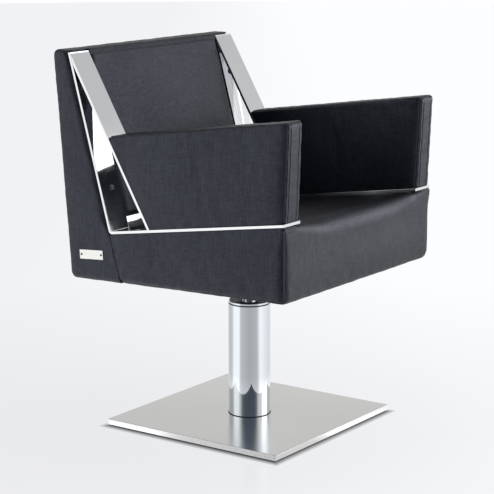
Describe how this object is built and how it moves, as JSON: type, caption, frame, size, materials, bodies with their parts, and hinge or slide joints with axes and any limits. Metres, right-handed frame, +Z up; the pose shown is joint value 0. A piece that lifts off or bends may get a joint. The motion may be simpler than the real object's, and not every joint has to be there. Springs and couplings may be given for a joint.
{
  "type": "styling chair",
  "caption": "Salon styling chair: square floor plate, hydraulic column with pedal, swivelling upholstered box seat, wedge back and slab arms on bent chromed flat bars.",
  "frame": {"origin": "centre of the square floor plate, on the floor", "axes": "+Z up along the column, the sitter faces -Y, the sitter's left is +X"},
  "size_m": [0.576, 0.6046, 0.831],
  "materials": {
    "leatherette": "satin",
    "chrome": "polished",
    "satin_steel": "satin",
    "machined_steel": "satin",
    "zinc_steel": "satin",
    "black_steel": "satin",
    "iron": "matte",
    "bronze": "satin",
    "black_rubber": "matte",
    "black_plastic": "satin",
    "plywood": "matte",
    "foam": "matte",
    "lining": "matte",
    "plate_metal": "satin"
  },
  "bodies": {
    "stand": {"floor_mat": "black_rubber", "ballast_plate": "iron", "base_cover": "satin_steel", "pump_bolts": "zinc_steel", "pump_base": "iron", "pressure_cylinder": "machined_steel", "reservoir_tube": "black_steel", "pump_head": "machined_steel", "guide_bush": "bronze", "wiper_seal": "black_rubber", "column_shroud": "chrome", "column_ring": "black_plastic", "column_cap": "chrome", "pedal_pin": "machined_steel"},
    "pedal": {"pedal_lever": "chrome", "pedal_pad": "black_rubber"},
    "plunger": {"pump_plunger": "machined_steel"},
    "ram": {"lift_ram": "chrome", "ram_seal": "black_rubber", "thrust_washer": "bronze", "keeper_washer": "zinc_steel", "keeper_screw": "zinc_steel"},
    "seat": {"swivel_hub": "black_steel", "swivel_bush": "bronze", "seat_mount_plate": "black_steel", "seat_bolts": "zinc_steel", "t_nuts": "zinc_steel", "seat_cross_rails": "plywood", "seat_side_rails": "plywood", "seat_board": "plywood", "seat_foam": "foam", "dust_cover": "lining", "seat_cover": "leatherette", "side_frame_left": "chrome", "side_frame_right": "chrome", "arm_brace_left": "chrome", "arm_brace_right": "chrome", "cross_rail": "chrome", "arm_bolts": "zinc_steel", "strap_screws": "zinc_steel", "leg_screws": "chrome", "arm_cover_left": "leatherette", "arm_cover_right": "leatherette", "arm_foam_left": "foam", "arm_foam_right": "foam", "arm_core_left": "plywood", "arm_core_right": "plywood", "back_cover": "leatherette", "back_side_panels": "plywood", "back_battens": "plywood", "back_panel": "plywood", "back_rear_panel": "plywood", "back_floor_board": "plywood", "back_pad": "leatherette", "back_foam": "foam", "tag_plate": "plate_metal", "tag_screws": "zinc_steel"}
  },
  "joints": [
    {"name": "pedal_press", "type": "hinge", "parent": "stand", "child": "pedal", "pos_m": [0.02687, 0.02687, 0.056], "axis": [-0.7071, 0.7071, 0], "range_deg": [0, 16]},
    {"name": "plunger_stroke", "type": "slide", "parent": "stand", "child": "plunger", "axis": [-0.7071, -0.7071, 0], "range_m": [0, 0.0047]},
    {"name": "seat_lift", "type": "slide", "parent": "stand", "child": "ram", "axis": [0, 0, 1], "range_m": [0, 0.13]},
    {"name": "seat_swivel", "type": "hinge", "parent": "ram", "child": "seat", "pos_m": [0, 0, 0.29], "axis": [0, 0, 1], "continuous": true}
  ],
  "couplings": [
    {"joint": "plunger_stroke", "follows": "pedal_press", "m_per_rad": 0.016}
  ]
}
